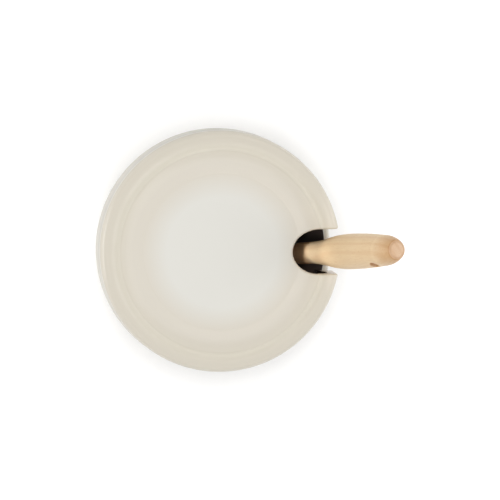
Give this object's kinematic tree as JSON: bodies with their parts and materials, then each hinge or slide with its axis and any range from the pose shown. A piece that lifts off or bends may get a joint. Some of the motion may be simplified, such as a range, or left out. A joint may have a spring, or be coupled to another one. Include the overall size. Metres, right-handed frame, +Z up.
{
  "type": "lidded saucepan with basting brush",
  "caption": "Small round enamelled saucepan with a cap-like slotted lid and a wooden-handled basting brush leaning out through the slot.",
  "frame": {"origin": "centre of the pan's flat base, on the surface it stands on", "axes": "+Z up along the pan's axis, +X towards the lid's slot and the leaning brush, +Y to the left of that"},
  "size_m": [0.1909, 0.1628, 0.1729],
  "materials": {
    "pan_enamel": "gloss cream enamel outside, satin black inside",
    "lid_enamel": "gloss cream enamel",
    "handle_wood": "oiled pale beech",
    "ferrule_steel": "brushed",
    "stem_steel": "plain",
    "head_silicone": "matte cream silicone"
  },
  "bodies": {
    "pan": {"pan_body": "pan_enamel"},
    "lid": {"lid": "lid_enamel"},
    "brush": {"brush_handle": "handle_wood", "brush_ferrule": "ferrule_steel", "brush_stem": "stem_steel", "ferrule_pin": "stem_steel", "brush_head": "head_silicone"}
  },
  "joints": [
    {"name": "lid_lift", "type": "slide", "parent": "pan", "child": "lid", "axis": [0, 0, 1], "range_m": [0, 0.12]},
    {"name": "brush_pull", "type": "slide", "parent": "pan", "child": "brush", "axis": [0.3654, 0.0827, 0.9272], "range_m": [0, 0.13]}
  ]
}
